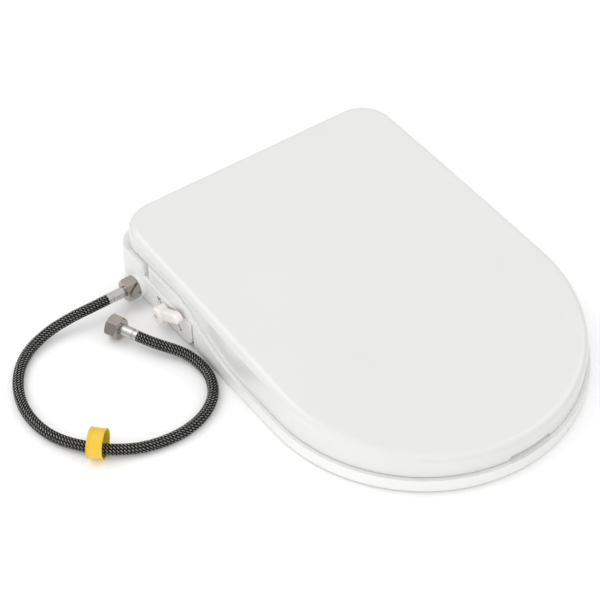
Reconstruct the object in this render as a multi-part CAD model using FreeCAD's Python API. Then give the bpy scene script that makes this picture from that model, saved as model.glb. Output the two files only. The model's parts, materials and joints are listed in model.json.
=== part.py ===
import FreeCAD, Part
import math
import os

from FreeCAD import Vector as V

# Water-operated bidet seat: rear housing with wash nozzles, seat ring, full-cover lid, supply hose.
# Millimetres. +Z up, front faces -Y, +X is to the left of a person sitting on it.
# Origin: midway between the two mounting bolts, on the plane that the seat rests on.

os.makedirs("parts", exist_ok=True)

# ---------------------------------------------------------------- driving dimensions
BOLT_SPACING = 155.0      # between the two mounting bolts
BOLT_SETBACK = 60.0       # bolt line to the lid's rear edge
RIDE = 1.0                # height of the housing and seat above the resting plane, on their rubber feet

LID_WIDTH = 361.0
LID_LENGTH = 490.0
LID_REAR_Z = 80.0         # top surface at the rear edge
LID_FRONT_Z = 43.5        # top surface at the front tip
LID_CROWN = 2.5           # rise of the top surface over a straight line from rear to front
LID_CORNER_R = 40.0
LID_EDGE_R = 9.0
LID_WALL = 3.0
NOTCH_WIDTH = 54.0        # finger notch at the front of the lid
NOTCH_HEIGHT = 5.0

EDGE_REAR_Z = 54.0        # lower edge of the lid's skirt at the rear
EDGE_SIDE_Z = 57.0        # ... beside the housing
EDGE_FRONT_Z = 19.5       # ... round the front
EDGE_FALL_START = -60.0   # where the edge starts to fall from side height to front height
EDGE_FALL_END = -187.0

SEAT_PROUD = 4.4          # seat outline stands this far outside the lid's
SEAT_REAR_Y = -5.0
SEAT_CORNER_R = 12.0
SEAT_WALL = 4.0
SEAT_FLOOR = 2.5          # thickness of the plate that closes the seat from below
SEAT_BOTTOM_R = 2.5
SEAT_TOP_R = 7.0
OPENING_ASPECT = 0.817    # seat opening's width over its length
OPENING_REAR_Y = -95.0
RING_FRONT = 78.0         # seat's width at the front, from the lid's tip to the opening
LID_TO_SEAT = 5.0         # space between seat top and the lid's inside
SKIRT_GAP = 1.5           # seat to the inside of the lid's skirt
EDGE_GAP = 0.8            # seat shoulder to the lid's lower edge

HOUSE_PROUD = 5.0         # housing stands this far outside the lid at each side
HOUSE_OVERHANG = 7.0      # housing stands this far behind the lid
HOUSE_CORNER_R = 36.0
HOUSE_WALL = 2.8
HOUSE_EDGE_R = 2.5
REAR_DECK_Z = 48.0        # housing top under the hinge
MID_DECK_Z = 53.0         # housing top in front of the hinge
SHOULDER_Y = -2.0         # front of the full-height block
WING_FRONT_Y = -97.0
WING_TOP_Z = 37.0
WING_INNER_X = 125.0
WING_TOE_R = 16.0
CENTRE_HALF_WIDTH = 150.0
CENTRE_FRONT_Y = -68.0
SEAT_TO_HOUSE = 2.0       # all round the housing, where the seat passes over it

HINGE_SETBACK = 11.0      # hinge axis to the lid's rear edge
HINGE_DROP = 13.5         # hinge axis below the lid's rear top
BARREL_R = 8.5
BARREL_HALF = 95.0
KNUCKLE_R = 8.0
SEAT_KNUCKLE_WIDTH = 12.5
LID_KNUCKLE_WIDTH = 13.5
KNUCKLE_GAP = 0.4
PIN_R = 3.0
PIN_HEAD_R = 5.0
PIN_HEAD_LENGTH = 2.5
RUNNING_FIT = 0.05
DAMPER_R = 6.0
DAMPER_LENGTH = 62.0
DAMPER_SOCKET = 22.0

BASE_PLATE = 3.0
BASE_FIT = 0.4
PLATE_LENGTH = 212.0      # mounting plate
PLATE_WIDTH = 44.0
PLATE_THICKNESS = 5.0
PLATE_ROOM = 13.0         # height kept free over the resting plane for the bolt heads
PAN_WALL = 2.5
SLOT_WIDTH = 9.0
SLOT_LENGTH = 25.0
FOOT_R = 7.0
STEM_R = 2.5
SCREW_R = 1.6
SCREW_HEAD_R = 3.4
SCREW_HEAD_H = 2.0
SCREW_RECESS_R = 1.2
BOSS_R = 4.2

BUTTON_Y = 26.0
BUTTON_Z = 20.0
BUTTON_WIDTH = 24.0
BUTTON_HEIGHT = 12.0
BUTTON_DEPTH = 10.0
BUTTON_PROUD = 2.5
BUTTON_TRAVEL = 5.0
BUTTON_FIT = 0.4
LATCH_WIDTH = 10.0
LATCH_THICKNESS = 3.0
LATCH_HOOK = 6.0
LATCH_INSET = 18.0        # hook's inner side to the end of the mounting plate
LATCH_Y = 14.0
LATCH_FIT = 0.8           # latch bar over the plate and beside the base
SPRING_LENGTH = 12.0

INLET_Y = 5.5
INLET_Z = 20.5
INLET_FLANGE_R = 12.5
INLET_FLANGE = 6.5
INLET_THREAD_R = 9.9
INLET_THREAD = 10.4
INLET_NECK_R = 8.0
INLET_BORE_R = 2.6
LOCKNUT_R = 12.0
LOCKNUT_LENGTH = 4.5
BARB_R = 3.6
BARB_LENGTH = 9.0
FILTER_R = 7.2
FILTER_THICKNESS = 1.6

NUT_ACROSS_FLATS = 24.0
NUT_LENGTH = 15.0
NUT_THREAD_R = 10.1
NUT_THREAD_LENGTH = 9.6
NUT_RELIEF = 0.5
NUT_BACK = 1.6
WASHER_THICKNESS = 2.0
WASHER_BORE_R = 4.6
FERRULE_PROUD = 0.2       # crimped sleeve's radius over the hose's
FERRULE_LENGTH = 21.5
FERRULE_NECK_R = 5.4
FERRULE_FLANGE_R = 9.0
FERRULE_FLANGE = 1.2
FERRULE_BORE_R = 3.4
GROOVE_WIDTH = 2.2
GROOVE_DEPTH = 0.8
HOSE_DIAMETER = 12.0
FERRULE_R = HOSE_DIAMETER / 2 + FERRULE_PROUD
BAND_R = 16.5
BAND_WALL = 1.5
BAND_WIDTH = 16.5

VALVE_Y = -48.0
VALVE_Z = 19.5
VALVE_R = 12.0
VALVE_LENGTH = 34.0
VALVE_FOOT = 3.0          # thickness of the foot that the valve is screwed down by
VALVE_FACE_GAP = 0.8      # valve face to the inside of the housing wall
ROTOR_R = 7.0
ROTOR_LENGTH = 20.0
STEM_SHAFT_R = 4.0
SEAL_LENGTH = 2.4
PORT_R = 3.6
PORT_LENGTH = 8.0
PORT_SPREAD = 6.5
KNOB_R = 10.5
KNOB_DEPTH = 14.0
KNOB_GAP = 0.6
KNOB_WALL = 3.5
LEVER_REACH = 46.0
LEVER_ROOT = 15.0         # lever's width where it leaves the hub
LEVER_TIP = 12.0
LEVER_DEPTH = 8.0
LEVER_ANGLE = 32.0        # above horizontal, pointing to the front

NOZZLE_TILT = 16.0        # nozzles point this far below horizontal
NOZZLE_TIP_INSET = 2.0    # nozzle tips behind the housing's front
NOZZLE_TIP_Z = 13.5
NOZZLE_SPREAD = 11.0      # each nozzle's distance from the centre line
NOZZLE_R = 5.0
NOZZLE_LENGTH = 62.0
NOZZLE_BORE_R = 1.8
PISTON_R = 6.5
PISTON_LENGTH = 5.0
HOLDER_WALL = 2.2
HOLDER_FRONT_GAP = 6.0    # nozzle tip stands out of the holder by this much
HOLDER_BACK = 3.0
HOLDER_SIDE = 3.0
HOLDER_ROOM = 2.3         # over the holder's highest corner, under the housing's top
EAR_THICKNESS = 3.0        # screw ears of the nozzle holder
NOZZLE_FIT = 0.08
SPRING_WIRE = 0.8
GUARD_HALF_WIDTH = 27.0
GUARD_HEIGHT = 26.0
GUARD_THICKNESS = 2.5
GUARD_HOLE_GAP = 1.2
TUBE_R = 3.0

# ---------------------------------------------------------------- derived places
HALF_LID = LID_WIDTH / 2
LID_REAR_Y = BOLT_SETBACK
LID_FRONT_Y = BOLT_SETBACK - LID_LENGTH
FRONT_ARC_Y = LID_FRONT_Y + HALF_LID
HALF_SEAT = HALF_LID + SEAT_PROUD
OPENING_FRONT_Y = LID_FRONT_Y + RING_FRONT
OPENING_HALF_WIDTH = OPENING_ASPECT * (OPENING_REAR_Y - OPENING_FRONT_Y) / 2
HALF_HOUSE = HALF_LID + HOUSE_PROUD
HOUSE_REAR_Y = LID_REAR_Y + HOUSE_OVERHANG
HINGE_Y = LID_REAR_Y - HINGE_SETBACK
HINGE_Z = LID_REAR_Z - HINGE_DROP
DECK_STEP_Y = HINGE_Y - 16.5
SEAT_KNUCKLE_X = BARREL_HALF + KNUCKLE_GAP
LID_KNUCKLE_X = SEAT_KNUCKLE_X + SEAT_KNUCKLE_WIDTH + KNUCKLE_GAP
PIN_END_X = LID_KNUCKLE_X + LID_KNUCKLE_WIDTH
DAMPER_END_X = BARREL_HALF - 2.0
BASE_TOP_Z = RIDE + BASE_PLATE
LATCH_END_X = PLATE_LENGTH / 2 - LATCH_INSET
BUTTON_BACK_X = HALF_HOUSE + BUTTON_PROUD - BUTTON_DEPTH
SPRING_STOP_X = BUTTON_BACK_X - SPRING_LENGTH
NOZZLE_TIP_Y = CENTRE_FRONT_Y + NOZZLE_TIP_INSET
HOLDER_END_Y = NOZZLE_LENGTH + 2.0
HOLDER_HALF_Z = PISTON_R + HOLDER_WALL
TILT = math.radians(NOZZLE_TILT)
HOLDER_TOP_Z = NOZZLE_TIP_Z + (HOLDER_END_Y + HOLDER_BACK) * math.sin(TILT) + HOLDER_HALF_Z * math.cos(TILT)
CENTRE_TOP_Z = HOLDER_TOP_Z + HOLDER_ROOM + HOUSE_WALL
REACH = 1000.0            # longer than anything here, for cutting tools

# ---------------------------------------------------------------- helpers


def save(name, shape):
    """Write one node, which is a single solid or a group of separate solids."""
    solids = shape.Solids
    volume = shape.Volume / 1000
    print(f"{name:22s} solids {len(solids):2d}  valid {shape.isValid()}  volume {volume:9.2f} cm3")
    result = solids[0] if len(solids) == 1 else Part.makeCompound(solids)
    result.exportStep(f"parts/{name}.step")


def box(x0, x1, y0, y1, z0, z1):
    return Part.makeBox(x1 - x0, y1 - y0, z1 - z0, V(x0, y0, z0))


def rod(radius, start, end):
    """Cylinder between two points."""
    line = end - start
    return Part.makeCylinder(radius, line.Length, start, line)


def x_rod(radius, x0, x1, y, z):
    return rod(radius, V(x0, y, z), V(x1, y, z))


def z_rod(radius, x, y, z0, z1):
    return rod(radius, V(x, y, z0), V(x, y, z1))


def fuse(shapes):
    return shapes[0].multiFuse(shapes[1:]).removeSplitter() if len(shapes) > 1 else shapes[0]


def mirror_x(shape):
    return shape.mirror(V(0, 0, 0), V(1, 0, 0))


def both_sides(shape):
    return [shape, mirror_x(shape)]


def corner_arc(cx, cy, radius, from_deg, to_deg):
    """Arc in a horizontal plane, given by its centre and its two directions."""
    def on_circle(deg):
        turn = math.radians(deg)
        return V(cx + radius * math.cos(turn), cy + radius * math.sin(turn), 0)
    return Part.Arc(on_circle(from_deg), on_circle((from_deg + to_deg) / 2), on_circle(to_deg)).toShape()


def chain(items):
    """Closed face from arcs in order, joined by straight lines where they don't meet."""
    edges = []
    for index, item in enumerate(items):
        after = items[(index + 1) % len(items)]
        edges.append(item)
        end, start = item.lastVertex().Point, after.firstVertex().Point
        if end.distanceToPoint(start) > 1e-6:
            edges.append(Part.makeLine(end, start))
    return Part.Face(Part.Wire(edges))


def d_prism(half_width, rear_y, corner_r, z0, z1):
    """Upright D: round front about the shared centre, straight sides, rounded rear corners."""
    side = half_width - corner_r
    face = chain([
        corner_arc(0, FRONT_ARC_Y, half_width, 180, 360),
        corner_arc(side, rear_y - corner_r, corner_r, 0, 90),
        corner_arc(-side, rear_y - corner_r, corner_r, 90, 180),
    ])
    face.translate(V(0, 0, z0))
    return face.extrude(V(0, 0, z1 - z0))


def across(edges):
    """Solid with a constant Y-Z section over the whole width."""
    face = Part.Face(Part.Wire(edges))
    face.translate(V(-REACH / 2, 0, 0))
    return face.extrude(V(REACH, 0, 0))


def polyline(points):
    return [Part.makeLine(V(0, *a), V(0, *b)) for a, b in zip(points, points[1:])]


def top_height(y):
    """Straight line from the lid's rear top to its front top."""
    return LID_FRONT_Z + (LID_REAR_Z - LID_FRONT_Z) * (y - LID_FRONT_Y) / LID_LENGTH


def under_lid_top(drop):
    """Everything below the lid's crowned top surface, lowered by drop."""
    mid_y = (LID_REAR_Y + LID_FRONT_Y) / 2
    rear = V(0, LID_REAR_Y, LID_REAR_Z - drop)
    middle = V(0, mid_y, top_height(mid_y) + LID_CROWN - drop)
    front = V(0, LID_FRONT_Y, LID_FRONT_Z - drop)
    circle = Part.Arc(rear, middle, front).toShape().Curve
    ends = []
    for y in (LID_REAR_Y + 30.0, LID_FRONT_Y - 30.0):
        rise = math.sqrt(circle.Radius ** 2 - (y - circle.Center.y) ** 2)
        ends.append(V(0, y, circle.Center.z + rise))
    arc = Part.Arc(ends[0], middle, ends[1]).toShape()
    rear_foot, front_foot = V(0, ends[0].y, -50), V(0, ends[1].y, -50)
    return across([arc, Part.makeLine(ends[1], front_foot), Part.makeLine(front_foot, rear_foot),
                   Part.makeLine(rear_foot, ends[0])])


def under_lid_edge(drop):
    """Everything below the lid's lower edge: level, then falling in an S to the front."""
    level = V(0, EDGE_FALL_START, EDGE_SIDE_Z - drop)
    low = V(0, EDGE_FALL_END, EDGE_FRONT_Z - drop)
    fall = EDGE_FALL_END - EDGE_FALL_START
    drop_z = EDGE_FRONT_Z - EDGE_SIDE_Z
    steep = V(0, EDGE_FALL_START + 0.36 * fall, EDGE_SIDE_Z + 0.38 * drop_z - drop)
    curve = Part.BSplineCurve()
    curve.interpolate([level, steep, low], InitialTangent=V(0, -1, 0), FinalTangent=V(0, -1, 0))
    rear = V(0, LID_REAR_Y + 30.0, EDGE_REAR_Z - drop)
    front = V(0, LID_FRONT_Y - 30.0, EDGE_FRONT_Z - drop)
    rear_foot, front_foot = V(0, rear.y, -50), V(0, front.y, -50)
    return across([Part.makeLine(rear, level), curve.toShape(), Part.makeLine(low, front),
                   Part.makeLine(front, front_foot), Part.makeLine(front_foot, rear_foot),
                   Part.makeLine(rear_foot, rear)])


def round_top(solid, radius):
    """Fillet every edge of the largest upward face."""
    def upward(face):
        centre = face.Surface.parameter(face.CenterOfMass)
        return face.normalAt(*centre).z > 0.9
    top = max((face for face in solid.Faces if upward(face)), key=lambda face: face.Area)
    return solid.makeFillet(radius, top.Edges)


def round_bottom(solid, radius, level):
    edges = [edge for edge in solid.Edges if edge.BoundBox.ZMax < level + 1e-6]
    return solid.makeFillet(radius, edges)


# ---------------------------------------------------------------- lid


def lid_envelope(inset):
    """Outer form of the lid, or the hollow inside it when inset by the wall."""
    body = d_prism(HALF_LID - inset, LID_REAR_Y - inset, LID_CORNER_R - inset, 0, REACH / 8)
    return round_top(body.common(under_lid_top(inset)), LID_EDGE_R - inset)


def make_lid():
    outer = lid_envelope(0)
    shell = outer.cut(lid_envelope(LID_WALL)).cut(under_lid_edge(0))
    notch = box(-NOTCH_WIDTH / 2, NOTCH_WIDTH / 2, LID_FRONT_Y - 10, LID_FRONT_Y + 20,
                EDGE_FRONT_Z - 10, EDGE_FRONT_Z + NOTCH_HEIGHT)
    corners = [edge for edge in notch.Edges
               if edge.BoundBox.ZMin > EDGE_FRONT_Z and edge.BoundBox.XLength < 1e-6]
    shell = shell.cut(notch.makeFillet(NOTCH_HEIGHT * 0.8, corners))
    window = box(-LID_KNUCKLE_X + 0.1, LID_KNUCKLE_X - 0.1, LID_REAR_Y - LID_WALL - 2, LID_REAR_Y + 5,
                 0, HINGE_Z + 6.0)
    shell = shell.cut(window)
    knuckle = x_rod(KNUCKLE_R, LID_KNUCKLE_X, PIN_END_X, HINGE_Y, HINGE_Z)
    web = box(LID_KNUCKLE_X, PIN_END_X, HINGE_Y - KNUCKLE_R, LID_REAR_Y, HINGE_Z, HINGE_Z + 40)
    lug = knuckle.fuse(web).common(outer)
    lid = fuse([shell] + both_sides(lug))
    lid = lid.cut(x_rod(PIN_R, 0, PIN_END_X + 1, HINGE_Y, HINGE_Z))
    return lid.cut(x_rod(PIN_R + RUNNING_FIT, -PIN_END_X - 1, 0, HINGE_Y, HINGE_Z))


def ring_places(behind_arc, angle):
    """Four places in the middle of the seat ring: two at its sides, two round the front."""
    middle = (OPENING_HALF_WIDTH + HALF_LID) / 2
    turn = math.radians(angle)
    return [(sign * middle, FRONT_ARC_Y + behind_arc) for sign in (-1, 1)] + \
           [(sign * middle * math.cos(turn), FRONT_ARC_Y - middle * math.sin(turn)) for sign in (-1, 1)]


LID_BUMPERS = ring_places(120.0, 55.0)


def make_lid_bumpers():
    space = lid_envelope(LID_WALL).cut(under_lid_top(LID_WALL + LID_TO_SEAT - 0.3))
    return Part.makeCompound([z_rod(6.0, x, y, 0, REACH / 8).common(space) for x, y in LID_BUMPERS])


# ---------------------------------------------------------------- seat


def opening_prism(grow, z0, z1):
    """The oval opening of the seat, wider by grow."""
    middle = (OPENING_REAR_Y + OPENING_FRONT_Y) / 2
    half_length = (OPENING_REAR_Y - OPENING_FRONT_Y) / 2 + grow
    half_width = OPENING_HALF_WIDTH + grow
    ellipse = Part.Ellipse(V(0, middle + half_length, z0), V(half_width, middle, z0), V(0, middle, z0))
    return Part.Face(Part.Wire(ellipse.toShape())).extrude(V(0, 0, z1 - z0))


def seat_hollow(clear):
    """Space inside the seat, in front of the housing, kept clear of the walls by clear."""
    wall = SEAT_WALL + clear
    half_width = HALF_LID - LID_WALL - SKIRT_GAP - wall
    space = d_prism(half_width, SEAT_REAR_Y - wall, SEAT_CORNER_R, -REACH / 8, REACH / 8)
    space = space.cut(opening_prism(wall, -REACH / 8, REACH / 8))
    behind = box(-REACH / 2, REACH / 2, WING_FRONT_Y - SEAT_TO_HOUSE - wall, REACH / 2, -REACH / 8, REACH / 8)
    return space.cut(behind)


def make_seat():
    shoulder = d_prism(HALF_SEAT, SEAT_REAR_Y, SEAT_CORNER_R, RIDE, REACH / 8)
    shoulder = round_bottom(shoulder, SEAT_BOTTOM_R, RIDE).common(under_lid_edge(EDGE_GAP))
    shoulder = shoulder.cut(opening_prism(0, -1, REACH / 8))
    upper = d_prism(HALF_LID - LID_WALL - SKIRT_GAP, SEAT_REAR_Y, SEAT_CORNER_R, RIDE, REACH / 8)
    upper = upper.cut(opening_prism(0, -1, REACH / 8)).common(under_lid_top(LID_WALL + LID_TO_SEAT))
    upper = round_top(upper, SEAT_TOP_R)
    ring = shoulder.fuse(upper)
    centre = box(-CENTRE_HALF_WIDTH - SEAT_TO_HOUSE, CENTRE_HALF_WIDTH + SEAT_TO_HOUSE,
                 CENTRE_FRONT_Y - SEAT_TO_HOUSE, REACH, -1, CENTRE_TOP_Z + SEAT_TO_HOUSE)
    wing = box(WING_INNER_X - SEAT_TO_HOUSE, REACH, WING_FRONT_Y - SEAT_TO_HOUSE, REACH,
               -1, WING_TOP_Z + SEAT_TO_HOUSE)
    bridge = box(-WING_INNER_X - SEAT_TO_HOUSE, WING_INNER_X + SEAT_TO_HOUSE, WING_FRONT_Y - SEAT_TO_HOUSE,
                 REACH, -1, CENTRE_TOP_Z + SEAT_TO_HOUSE)
    ring = ring.cut(centre).cut(bridge)
    for side in both_sides(wing):
        ring = ring.cut(side)
    roof = under_lid_top(LID_WALL + LID_TO_SEAT + SEAT_WALL)
    ring = ring.cut(seat_hollow(0).common(roof))
    tab = box(SEAT_KNUCKLE_X, SEAT_KNUCKLE_X + SEAT_KNUCKLE_WIDTH, SEAT_REAR_Y - 15, HINGE_Y,
              HINGE_Z - KNUCKLE_R + 1, HINGE_Z - 1)
    knuckle = x_rod(KNUCKLE_R, SEAT_KNUCKLE_X, SEAT_KNUCKLE_X + SEAT_KNUCKLE_WIDTH, HINGE_Y, HINGE_Z)
    ring = fuse([ring] + both_sides(tab) + both_sides(knuckle))
    ring = ring.cut(x_rod(PIN_R + RUNNING_FIT, 0, PIN_END_X, HINGE_Y, HINGE_Z))
    return ring.cut(x_rod(PIN_R, -PIN_END_X, 0, HINGE_Y, HINGE_Z))


SEAT_PADS = ring_places(35.0, 45.0)


def make_seat_base():
    plate = seat_hollow(0.2).common(box(-REACH / 2, REACH / 2, -REACH, REACH, RIDE, RIDE + SEAT_FLOOR))
    for x, y in SEAT_PADS:
        plate = plate.cut(z_rod(STEM_R, x, y, 0, REACH / 8))
    return plate


def make_pads(places, top):
    pads = []
    for x, y in places:
        pad = z_rod(FOOT_R, x, y, 0, RIDE).fuse(z_rod(STEM_R, x, y, 0, top))
        pads.append(pad)
    return Part.makeCompound(pads)


# ---------------------------------------------------------------- housing


def rounded_rectangle(x_half, y0, y1, corner_r, z0, z1):
    face = chain([
        corner_arc(x_half - corner_r, y1 - corner_r, corner_r, 0, 90),
        corner_arc(-x_half + corner_r, y1 - corner_r, corner_r, 90, 180),
        corner_arc(-x_half + 2.0, y0 + 2.0, 2.0, 180, 270),
        corner_arc(x_half - 2.0, y0 + 2.0, 2.0, 270, 360),
    ])
    face.translate(V(0, 0, z0))
    return face.extrude(V(0, 0, z1 - z0))


def house_envelope(inset, floor):
    """Outer form of the housing above floor, or the hollow inside it when inset by the wall."""
    deck = across(polyline([
        (SHOULDER_Y - 5, -10), (HOUSE_REAR_Y + 5, -10), (HOUSE_REAR_Y + 5, REAR_DECK_Z - inset),
        (DECK_STEP_Y - inset, REAR_DECK_Z - inset), (DECK_STEP_Y - inset - 4, MID_DECK_Z - inset),
        (SHOULDER_Y - 5, MID_DECK_Z - inset), (SHOULDER_Y - 5, -10)]))
    rear = rounded_rectangle(HALF_HOUSE - inset, SHOULDER_Y + inset, HOUSE_REAR_Y - inset,
                             HOUSE_CORNER_R - inset, floor, REACH / 8).common(deck)
    overlap_y = SHOULDER_Y + 20.0
    centre = box(-CENTRE_HALF_WIDTH + inset, CENTRE_HALF_WIDTH - inset, CENTRE_FRONT_Y + inset, overlap_y,
                 floor, CENTRE_TOP_Z - inset)
    wing = box(WING_INNER_X + inset, HALF_HOUSE - inset, WING_FRONT_Y + inset, overlap_y,
               floor, WING_TOP_Z - inset)
    toe = [edge for edge in wing.Edges
           if edge.BoundBox.YMax < WING_FRONT_Y + inset + 1e-6 and edge.BoundBox.ZMax < floor + 1e-6]
    if inset == 0:
        wing = wing.makeFillet(WING_TOE_R, toe)
        wing = soften(wing, WING_TOP_Z, HOUSE_EDGE_R)
        rear = soften(rear, REAR_DECK_Z, HOUSE_EDGE_R)
    return fuse([rear, centre] + both_sides(wing))


def soften(solid, level, radius):
    """Fillet the edges that lie in the horizontal plane at level."""
    edges = [edge for edge in solid.Edges
             if abs(edge.BoundBox.ZMin - level) < 1e-6 and abs(edge.BoundBox.ZMax - level) < 1e-6
             and not (level == REAR_DECK_Z and edge.BoundBox.YMax < HINGE_Y - 10)]
    return solid.makeFillet(radius, edges)


SCREW_X = HALF_HOUSE - 27.0
COVER_SCREWS = [(-SCREW_X, HOUSE_REAR_Y - 26), (SCREW_X, HOUSE_REAR_Y - 22),
                (-SCREW_X, WING_FRONT_Y + 15), (SCREW_X, WING_FRONT_Y + 15),
                (-70.0, CENTRE_FRONT_Y + 16), (70.0, CENTRE_FRONT_Y + 16)]
FOOT_X = HALF_HOUSE - 50.0
BASE_FEET = [(-FOOT_X, HOUSE_REAR_Y - 24), (FOOT_X, HOUSE_REAR_Y - 18),
             (-FOOT_X, CENTRE_FRONT_Y + 10), (FOOT_X, CENTRE_FRONT_Y + 10)]


def nozzle_frame(shape):
    """Turn a shape built along -Y from the origin down to the nozzle's tilt, at the nozzle tips."""
    placed = shape.copy()
    placed.rotate(V(0, 0, 0), V(1, 0, 0), NOZZLE_TILT)
    placed.translate(V(0, NOZZLE_TIP_Y, NOZZLE_TIP_Z))
    return placed


def make_cover():
    inside = house_envelope(HOUSE_WALL, -5)
    cover = house_envelope(0, RIDE).cut(inside)
    stem = box(-BARREL_HALF, BARREL_HALF, HINGE_Y - BARREL_R, HINGE_Y + 2.0, REAR_DECK_Z - 1, HINGE_Z)
    barrel = x_rod(BARREL_R, -BARREL_HALF, BARREL_HALF, HINGE_Y, HINGE_Z)
    cover = fuse([cover, stem, barrel])
    for sign in (-1, 1):
        start = sign * (DAMPER_END_X - DAMPER_LENGTH)
        cover = cover.cut(x_rod(DAMPER_R + RUNNING_FIT, start, sign * REACH / 2, HINGE_Y, HINGE_Z))
    for x, y in COVER_SCREWS:
        boss = z_rod(BOSS_R, x, y, BASE_TOP_Z, REACH / 8).common(inside)
        cover = cover.fuse(boss).cut(z_rod(SCREW_R, x, y, 0, BASE_TOP_Z + 14))
    cover = cover.cut(x_rod(INLET_NECK_R + BASE_FIT / 2, -HALF_HOUSE - 5, -HALF_HOUSE + 5, INLET_Y, INLET_Z))
    cover = cover.cut(x_rod(STEM_SHAFT_R + 0.3, -HALF_HOUSE - 5, -HALF_HOUSE + 5, VALVE_Y, VALVE_Z))
    fit = BUTTON_FIT
    cover = cover.cut(box(HALF_HOUSE - 5, HALF_HOUSE + 5, BUTTON_Y - BUTTON_WIDTH / 2 - fit,
                          BUTTON_Y + BUTTON_WIDTH / 2 + fit, BUTTON_Z - BUTTON_HEIGHT / 2 - fit,
                          BUTTON_Z + BUTTON_HEIGHT / 2 + fit))
    half_window = GUARD_HALF_WIDTH - 3
    window = box(-half_window, half_window, CENTRE_FRONT_Y - 1, CENTRE_FRONT_Y + HOUSE_WALL + 1,
                 -5, RIDE + GUARD_HEIGHT - 3)
    return cover.cut(window)


def pan(grow):
    """Space over the mounting plate, grown sideways and upwards."""
    return box(-PLATE_LENGTH / 2 - BASE_FIT - grow, PLATE_LENGTH / 2 + BASE_FIT + grow,
               -PLATE_WIDTH / 2 - BASE_FIT - grow, PLATE_WIDTH / 2 + BASE_FIT + grow,
               -5, PLATE_ROOM + grow)


def make_lower_base():
    slab = house_envelope(HOUSE_WALL + BASE_FIT, RIDE).common(
        box(-REACH / 2, REACH / 2, -REACH / 2, REACH / 2, RIDE, BASE_TOP_Z))
    raised = pan(PAN_WALL).common(box(-REACH / 2, REACH / 2, -REACH / 2, REACH / 2, RIDE, REACH / 8))
    base = slab.fuse(raised).cut(pan(0))
    half_slot = LATCH_WIDTH / 2 + LATCH_FIT
    base = base.cut(box(0, PLATE_LENGTH, LATCH_Y - half_slot, LATCH_Y + half_slot,
                        PLATE_THICKNESS, PLATE_THICKNESS + LATCH_THICKNESS + 2 * LATCH_FIT))
    stop = box(SPRING_STOP_X - PAN_WALL, SPRING_STOP_X, BUTTON_Y - 6, BUTTON_Y + 6, BASE_TOP_Z - 0.5,
               BUTTON_Z + 5)
    posts = [z_rod(BOSS_R, x, y, PLATE_ROOM + 0.5, HOLDER_POST_TOP) for x, y in HOLDER_SCREWS]
    base = fuse([base, stop] + posts)
    for x, y in HOLDER_SCREWS:
        base = base.cut(z_rod(SCREW_R, x, y, PLATE_ROOM + 1, REACH / 8))
    for x, y in VALVE_SCREWS:
        base = base.cut(z_rod(SCREW_R, x, y, 0, REACH / 8))
    for x, y in COVER_SCREWS:
        base = base.cut(z_rod(SCREW_R + 0.2, x, y, 0, REACH / 8))
        base = base.cut(z_rod(SCREW_HEAD_R + 0.2, x, y, 0, RIDE + SCREW_HEAD_H))
    for x, y in BASE_FEET:
        base = base.cut(z_rod(STEM_R, x, y, 0, REACH / 8))
    return base


def make_mounting_plate():
    plate = box(-PLATE_LENGTH / 2, PLATE_LENGTH / 2, -PLATE_WIDTH / 2, PLATE_WIDTH / 2, 0, PLATE_THICKNESS)
    corners = [edge for edge in plate.Edges if edge.BoundBox.ZLength > PLATE_THICKNESS - 1e-6]
    plate = plate.makeFillet(4.0, corners)
    run = (SLOT_LENGTH - SLOT_WIDTH) / 2
    for x in (-BOLT_SPACING / 2, BOLT_SPACING / 2):
        slot = box(x - run, x + run, -SLOT_WIDTH / 2, SLOT_WIDTH / 2, -1, PLATE_THICKNESS + 1)
        for end in (x - run, x + run):
            slot = slot.fuse(z_rod(SLOT_WIDTH / 2, end, 0, -1, PLATE_THICKNESS + 1))
        plate = plate.cut(slot.removeSplitter())
    keeper = box(LATCH_END_X - BUTTON_TRAVEL - 1.0, LATCH_END_X + LATCH_HOOK + 0.5,
                 LATCH_Y - LATCH_WIDTH / 2 - LATCH_FIT, LATCH_Y + LATCH_WIDTH / 2 + LATCH_FIT,
                 -1, PLATE_THICKNESS + 1)
    return plate.cut(keeper)


def make_button():
    outer_x = HALF_HOUSE + BUTTON_PROUD
    button = box(BUTTON_BACK_X, outer_x, BUTTON_Y - BUTTON_WIDTH / 2, BUTTON_Y + BUTTON_WIDTH / 2,
                 BUTTON_Z - BUTTON_HEIGHT / 2, BUTTON_Z + BUTTON_HEIGHT / 2)
    rim = [edge for edge in button.Edges if edge.BoundBox.XMin > outer_x - 1e-6]
    return button.makeFillet(1.5, rim)


def make_latch():
    """Bar from the button to its hook in the mounting plate."""
    z0 = PLATE_THICKNESS + LATCH_FIT
    y0, y1 = LATCH_Y - LATCH_WIDTH / 2, LATCH_Y + LATCH_WIDTH / 2
    bar = box(LATCH_END_X, BUTTON_BACK_X, y0, y1, z0, z0 + LATCH_THICKNESS)
    hook = box(LATCH_END_X, LATCH_END_X + LATCH_HOOK, y0, y1, 1.0, z0 + LATCH_THICKNESS)
    upright = box(BUTTON_BACK_X - LATCH_THICKNESS, BUTTON_BACK_X, y0, y1, z0, BUTTON_Z + BUTTON_HEIGHT / 2)
    return fuse([bar, hook, upright])


def make_button_spring():
    wire = SPRING_WIRE
    outer = x_rod(4.0, SPRING_STOP_X, BUTTON_BACK_X, BUTTON_Y + 2, BUTTON_Z)
    return outer.cut(x_rod(4.0 - wire, SPRING_STOP_X, BUTTON_BACK_X, BUTTON_Y + 2, BUTTON_Z))


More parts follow.
